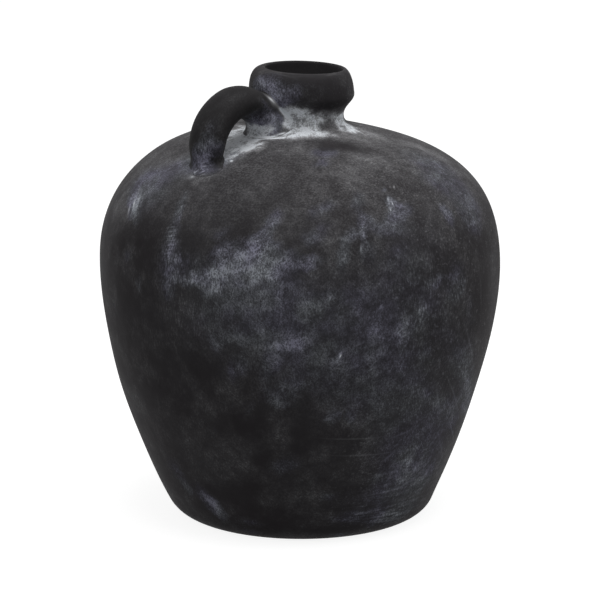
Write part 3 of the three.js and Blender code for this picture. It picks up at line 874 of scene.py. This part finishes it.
wall_line = inward(foot + flank[1:] + shoulder[1:], WALL)
wall = stretch(wall_line, FLOOR_TURN * MM, wall_line[-1].z)
wall_foot = wall[0].x / MM
floor_fillet = curve([
    (wall_foot - FLOOR_CORNER, FLOOR), (wall_foot - FLOOR_BEND, FLOOR),
    (wall_foot, FLOOR + FLOOR_BEND), (wall_foot, FLOOR_TURN),
], 8)
hollow = floor_fillet + wall[1:]


def ring_of(outer, inner, low, high):
    """The wall between two outlines, from one height to another, as one closed outline."""
    return stretch(outer, low, high) + stretch(inner, low, high)[::-1]


lower_body = throw(ring_of(outside, hollow, BASE_SEAM, BELLY_SEAM))
finish_piece(lower_body, "thrown_lower_body", [pot_clay, inside_clay_painted_dark], "lower_body")


# Upper body: the upper half of the belly, thrown as a bowl, turned over and luted to the lower half
BORE = 24.0
under_seat = wall[-1] / MM
bore_foot = curve([
    (under_seat.x, under_seat.z), (under_seat.x - 10, under_seat.z + 2.5), (BORE, 282), (BORE, SEAT[1]),
], 12)
hollow = hollow + bore_foot[1:]

upper_body = throw(ring_of(outside, hollow, BELLY_SEAM, NECK_SEAM))
finish_piece(upper_body, "thrown_upper_body", [pot_clay, inside_clay_painted_dark], "upper_body")


# Neck: a short waisted ring on the dome, its foot smeared out over the shoulder
MOUTH = 27.9
LIP_TUCK = 328.0

bore = curve([(BORE, SEAT[1]), (BORE, 289), (BORE, 292.5), (BORE, WAIST[1])], 6)
mouth = curve([(BORE, WAIST[1]), (BORE, 308.8), (MOUTH, 318.5), (MOUTH, LIP_TUCK)], 16)
tuck = curve([(MOUTH, LIP_TUCK), (MOUTH, 328.9), (28.6, LIP[1]), LIP], 5)
hollow = hollow + bore[1:] + mouth[1:] + tuck[1:]

neck = throw(ring_of(outside, hollow, NECK_SEAM, COLLAR_SEAM))
finish_piece(neck, "thrown_neck", [pot_clay, inside_clay_painted_dark], "neck_ring")


# Collar: a thick coil of clay rolled over on the neck, with a narrow rounded lip round the mouth
MOUTH_LEAN = 3.5 * MM
COLLAR_LEAN = 0.6 * MM
bulge_radius, bulge_height = (size * MM for size in BULGE)
lip_radius = LIP[0] * MM


def lean_away(bm):
    """Leans the collar away from the handle, and the mouth more than the outside."""
    for vert in bm.verts:
        reach = math.hypot(vert.co.x, vert.co.y)
        rise = (vert.co.z - COLLAR_SEAM) / (RIM_HEIGHT - COLLAR_SEAM)
        turned_in = max(0, min(1, (bulge_radius - reach) / (bulge_radius - lip_radius)))
        share = turned_in ** 2 if vert.co.z > bulge_height or reach < lip_radius else 0
        vert.co.x += (COLLAR_LEAN + (MOUTH_LEAN - COLLAR_LEAN) * share) * rise ** 2


collar = throw(ring_of(outside, hollow, COLLAR_SEAM, RIM_HEIGHT - NEAR))
lean_away(collar)
finish_piece(collar, "rolled_collar", [pot_clay, inside_clay_painted_dark], "collar_ring")


# Handle: one pulled strap of clay, bent from the collar over a crest and down to the dome
OVAL_STEPS = 56

# the strap's places and sizes in millimetres, from its root at the neck to the foot of its leg
ROOT_STEPS = 12
ROOT_START = 33
ROOT_END = 58
ROOT_SAG = 8.0
ROOT_TWIST = math.radians(10)
ROOT_WIDTH = 26
CREST = 312.2
STRAP_THICKNESS = 21.2
STRAP_WIDTH = 35
LEG_REACH = 90
LEG_TOP = 284.1
LEG_THICKNESS = 22.8
LEG_WIDTH = 30.2
LEG_STEP = 3.4
LEG_STEPS = 8
LEG_TAPER = 1.7
LEG_TAPER_END = 9

# the wad under the root, along the neck: it flares out at its foot and fills the corner at its top
WAD_STEPS = 14
WAD_FOOT = 278
WAD_TOP = 306
WAD_THICKNESS = 28.2 * MM
WAD_WIDTH = 32 * MM
WAD_FLARE = 6.0 * MM
FLARE_TOP = 299 * MM
FLARE_HEIGHT = 18 * MM
WAD_SHRINK = 4 * MM
SHRINK_FOOT = 298 * MM
WAD_CORNER = 28 * MM
CORNER_FOOT = 286 * MM
CORNER_HEIGHT = 20 * MM


def oval(reach, height, along, thickness, width):
    """A matrix that puts a unit circle across the strap: thickness is in its plane of bending."""
    forward = Vector((-along[0], 0, along[1])).normalized()
    outward = Vector((0, 1, 0)).cross(forward)
    turn = Matrix((outward * thickness / 2, Vector((0, width / 2, 0)), forward)).transposed().to_4x4()
    return Matrix.Translation((-reach, 0, height)) @ turn


def sweep(bm, sections):
    """A closed skin pushed out from section to section."""
    ring = bmesh.ops.create_circle(bm, cap_ends=True, radius=1, segments=OVAL_STEPS)["verts"]
    edges = list({edge for vert in ring for edge in vert.link_edges})
    bmesh.ops.transform(bm, matrix=sections[0], verts=ring)
    for before, after in zip(sections, sections[1:]):
        pushed = bmesh.ops.extrude_edge_only(bm, edges=edges)["geom"]
        ring = [item for item in pushed if isinstance(item, bmesh.types.BMVert)]
        edges = [item for item in pushed if isinstance(item, bmesh.types.BMEdge)]
        bmesh.ops.transform(bm, matrix=after @ before.inverted(), verts=ring)
    bmesh.ops.holes_fill(bm, edges=edges, sides=0)


def lerp(start, end, share):
    return start + (end - start) * share


def root_sections():
    """The strap from the neck to the crest: it starts lower, narrower and a little twisted."""
    sections = []
    for i in range(ROOT_STEPS):
        share = ramp(i / (ROOT_STEPS - 1), 0, 1)
        reach = lerp(ROOT_START, ROOT_END, i / (ROOT_STEPS - 1)) * MM
        sag = ROOT_SAG * MM * (1 - share)
        width = lerp(ROOT_WIDTH, STRAP_WIDTH, share) * MM
        level = oval(reach, CREST * MM - sag, (1, 0), STRAP_THICKNESS * MM, width)
        twist = Matrix.Rotation(ROOT_TWIST * (1 - share), 4, "X")
        middle = Matrix.Translation(level.translation)
        sections.append(middle @ twist @ middle.inverted() @ level)
    return sections


def arch_sections():
    """The strap bent over a quarter turn, from the crest to the top of the leg."""
    sections = []
    arch = curve([(62, CREST), (69, CREST), (LEG_REACH, 302.1), (LEG_REACH, LEG_TOP)], 40)
    for i, here in enumerate(arch):
        along = direction(arch, i)
        share = i / (len(arch) - 1)
        thickness = lerp(STRAP_THICKNESS, LEG_THICKNESS, share) * MM
        width = lerp(STRAP_WIDTH, LEG_WIDTH, share) * MM
        sections.append(oval(here.x, here.z, (along.x, along.z), thickness, width))
    return sections


def leg_sections():
    """The leg, straight down into the dome and thinner there."""
    sections = []
    for i in range(LEG_STEPS):
        depth = (i + 1) * LEG_STEP * MM
        taper = LEG_TAPER * MM * ramp(depth, 0, LEG_TAPER_END * MM)
        sections.append(oval(
            LEG_REACH * MM, LEG_TOP * MM - depth, (0, -1),
            LEG_THICKNESS * MM - 2 * taper, LEG_WIDTH * MM - 2 * taper,
        ))
    return sections


def wad_sections():
    """The wad under the root, from the dome up along the neck."""
    sections = []
    for i in range(WAD_STEPS):
        height = lerp(WAD_FOOT, WAD_TOP, i / (WAD_STEPS - 1)) * MM
        flare = WAD_FLARE * max(0, (FLARE_TOP - height) / FLARE_HEIGHT) ** 2
        shrink = WAD_SHRINK * ramp(height, SHRINK_FOOT, WAD_TOP * MM)
        corner = WAD_CORNER * max(0, (height - CORNER_FOOT) / CORNER_HEIGHT) ** 2
        sections.append(oval(
            WAIST[0] * MM + corner / 2, height, (0, 1),
            WAD_THICKNESS + 2 * flare + corner, WAD_WIDTH + 2 * (flare - shrink),
        ))
    return sections


def cut_square(bm, cuts):
    """Takes away what lies beyond each plane, a place and the way out of it, and closes the cuts."""
    for place, outward in cuts:
        cut = bmesh.ops.bisect_plane(
            bm, geom=bm.verts[:] + bm.edges[:] + bm.faces[:], dist=NEAR,
            plane_co=place, plane_no=outward, clear_outer=True,
        )["geom_cut"]
        edges = [item for item in cut if isinstance(item, bmesh.types.BMEdge)]
        bmesh.ops.holes_fill(bm, edges=edges, sides=0)


def pot_core(depth):
    """The pot as one solid lump, that much smaller than its skin."""
    line = inward(outside, depth)
    return throw([Vector((0, 0, line[0].z)), *line, Vector((0, 0, line[-1].z))], closed=False)


# the skin of the pot that the handle grows out of, and how it is drawn up round it
SMEAR_DEPTH = 1.2 * MM
SEAT_DEPTH = 0.35 * MM
BED_START = 4 * MM
BED_END = 124 * MM
BED_FOOT = 248 * MM
BED_SIDE = 40 * MM
SMEAR_START = 20 * MM
SMEAR_FOOT = 255 * MM
NECK_SMEAR = 4.0 * MM
NECK_SMEAR_TURN = math.radians(38)
NECK_SMEAR_REACH = (36 * MM, 50 * MM)
NECK_SMEAR_RISE = (280 * MM, 288 * MM, 292 * MM, 300 * MM)
LEG_SMEAR = 2.6 * MM
LEG_SMEAR_REACH = 14 * MM
LEG_FOOT_PIXEL = (204, 171)
leg_foot, _, _, _ = pot_skin.ray_cast(camera.location, look_through(*LEG_FOOT_PIXEL))


def smeared_bed():
    """The skin of the pot under the handle, drawn out round the neck and up round the leg."""
    bed = pot_core(SMEAR_DEPTH)
    cut_square(bed, [
        ((-BED_START, 0, 0), (1, 0, 0)), ((-BED_END, 0, 0), (-1, 0, 0)), ((0, 0, BED_FOOT), (0, 0, -1)),
        ((0, BED_SIDE, 0), (0, 1, 0)), ((0, -BED_SIDE, 0), (0, -1, 0)),
    ])
    for vert in bed.verts:
        reach = math.hypot(vert.co.x, vert.co.y)
        if reach > SMEAR_START and vert.co.z > SMEAR_FOOT:
            turn = math.atan2(vert.co.y, -vert.co.x)
            drawn = NECK_SMEAR * hump(turn, 0, NECK_SMEAR_TURN) * (1 - ramp(reach, *NECK_SMEAR_REACH))
            drawn *= span(vert.co.z, *NECK_SMEAR_RISE)
            vert.co += Vector((vert.co.x, vert.co.y, 0)).normalized() * drawn
            vert.co.z += LEG_SMEAR * hump((vert.co - leg_foot).length, 0, LEG_SMEAR_REACH)
    return bed


VOXEL = 0.9 * MM
SOFTENING = 24


def evaluated(thing):
    """The mesh of an object with its modifiers applied."""
    return bpy.data.meshes.new_from_object(thing.evaluated_get(bpy.context.evaluated_depsgraph_get()))


def grown_together(bm):
    """The swept parts and the bed as one softened skin, seated on the pot."""
    rough = add_object("handle_rough", mesh_of(bm, "handle_rough"))
    joined = rough.modifiers.new("joined", "REMESH")
    joined.mode = "VOXEL"
    joined.voxel_size = VOXEL
    soft = bmesh.new()
    soft.from_mesh(evaluated(rough))
    for _ in range(SOFTENING):
        bmesh.ops.smooth_vert(
            soft, verts=soft.verts, factor=0.5, use_axis_x=True, use_axis_y=True, use_axis_z=True,
        )
    rough.modifiers.clear()
    soft.to_mesh(rough.data)
    soft.free()
    core = add_object("pot_core", mesh_of(pot_core(SEAT_DEPTH), "pot_core"))
    seated = rough.modifiers.new("seated", "BOOLEAN")
    seated.operation = "DIFFERENCE"
    seated.solver = "EXACT"
    seated.object = core
    mesh = evaluated(rough)
    bpy.data.objects.remove(rough)
    bpy.data.objects.remove(core)
    return mesh


handle = bmesh.new()
sweep(handle, root_sections() + arch_sections() + leg_sections())
sweep(handle, wad_sections())
handle.from_mesh(mesh_of(smeared_bed(), "bed"))
bmesh.ops.recalc_face_normals(handle, faces=handle.faces)
handle_mesh = grown_together(handle)


def handle_part(cuts):
    """The part of the handle on the near side of each cutting plane, closed where it was cut."""
    bm = bmesh.new()
    bm.from_mesh(handle_mesh)
    cut_square(bm, cuts)
    return bm


# marks on the handle, laid in the same way
HANDLE_SCRATCHES = [
    (200, 157, 16, 10, 80, 1.2), (195, 168, 10, 7, 60, 0.6), (208, 167, 12, 6, 10, 0.35),
    (203, 152, 14, 9, 90, 0.5), (217, 150, 8, 12, 90, 0.5), (212, 130, 16, 10, 60, 0.2),
    (204, 142, 8, 6, 60, 0.2), (262, 122, 20, 14, 20, 0.6), (274, 122, 12, 10, 20, 0.5),
    (254, 116, 10, 8, 0, 0.25), (264, 102, 8, 4, -40, 0.25), (206, 171, 20, 7, 3, 0.2),
    (209, 150, 14, 9, 80, 0.5),
]
HANDLE_WASHES = [
    (264, 130, 26, 13, 8, 1.1), (251, 128, 10, 12, 0, 1.2), (258, 133, 14, 5, 5, 1.0),
    (293, 124, 9, 16, 90, 1.5), (286, 120, 5, 10, 60, 0.5), (200, 164, 14, 12, 80, 0.12),
    (208, 172, 24, 6, 3, 0.12),
]
HANDLE_LINES = [
    # creases of the upper end
    (271, 99.5, 10, 2.6, -42, 0.9), (282, 111.5, 12, 2.6, -46, 1.3), (285, 114.5, 9, 1.5, -50, 1.1),
    (268, 137.3, 18, 1.6, 4, 0.9), (282, 133.6, 9, 1.6, 14, 0.9), (251, 136.5, 10, 1.6, -3, 0.5),
    # hatching at the foot of the strap
    (203, 162.8, 4.5, 0.9, 17, 0.55), (204.6, 166.3, 7, 0.9, 10, 0.55), (196.5, 171.3, 4, 0.9, 30, 0.5),
    (202.5, 171.6, 5, 0.9, 26, 0.5), (203, 174.6, 4, 0.8, 12, 0.4), (198, 157.3, 3, 0.8, 90, 0.45),
    (201.3, 157.3, 3, 0.8, 88, 0.45), (204.6, 157.3, 3, 0.8, 94, 0.4), (207.5, 157, 3, 0.8, 96, 0.35),
    (194.5, 165, 4, 0.8, 66, 0.4), (194.5, 172.5, 4, 0.9, 100, 0.4),
]
handle_slip = lay_slip(
    skin_of(handle_part([])),
    scratches=HANDLE_SCRATCHES, washes=HANDLE_WASHES, lines=HANDLE_LINES, stains=[],
)
handle_clay = smoked_clay(
    "smoked_handle_clay", handle_slip,
    black=(0.0135, 0.0124, 0.0135, 1), soot=(0.0172, 0.0163, 0.0172, 1),
    dust=0.07, dust_top=290 * MM, haze=0.05, back_slip=0.6,
)

UPPER_SEAM = (-51.85 * MM, 0, 0)
LOWER_SEAM = (0, 0, 283.95 * MM)

strap_piece = handle_part([(UPPER_SEAM, (1, 0, 0)), (LOWER_SEAM, (0, 0, -1))])
finish_piece(strap_piece, "arched_strap", [handle_clay], "handle_strap")

upper_wad = handle_part([(UPPER_SEAM, (-1, 0, 0))])
finish_piece(upper_wad, "upper_wad", [handle_clay], "upper_handle_root")

lower_wad = handle_part([(UPPER_SEAM, (1, 0, 0)), (LOWER_SEAM, (0, 0, 1))])
finish_piece(lower_wad, "lower_wad", [handle_clay], "lower_handle_root")
